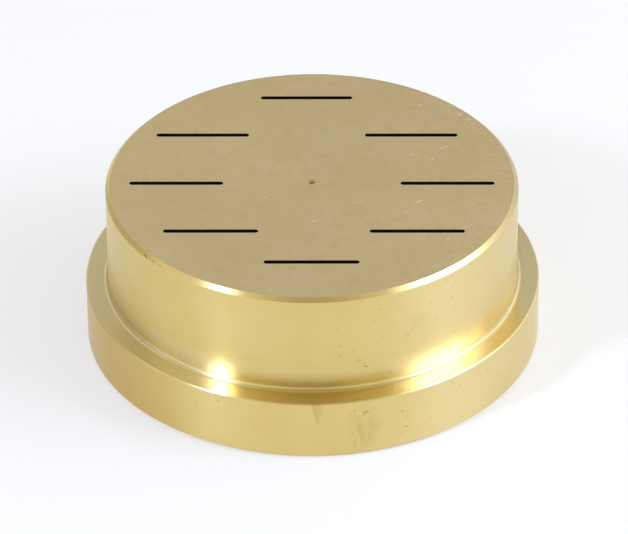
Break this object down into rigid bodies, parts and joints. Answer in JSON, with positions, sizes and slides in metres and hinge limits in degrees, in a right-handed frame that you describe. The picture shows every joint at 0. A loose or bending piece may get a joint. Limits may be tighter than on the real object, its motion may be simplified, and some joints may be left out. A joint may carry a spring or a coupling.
{
  "type": "pasta extrusion die",
  "caption": "Round flanged brass die with parallel straight slits through its face, fed by milled pockets from a dough chamber in the back; shapes extruded dough into flat ribbons.",
  "frame": {"origin": "centre of the back face, which the die stands on", "axes": "+Z along the die's axis, from the dough side to the face; +X along the slits"},
  "size_m": [0.078, 0.078, 0.0295],
  "materials": {
    "brass": "turned and faced, satin"
  },
  "bodies": {
    "root": {"die_body": "brass"}
  },
  "joints": []
}
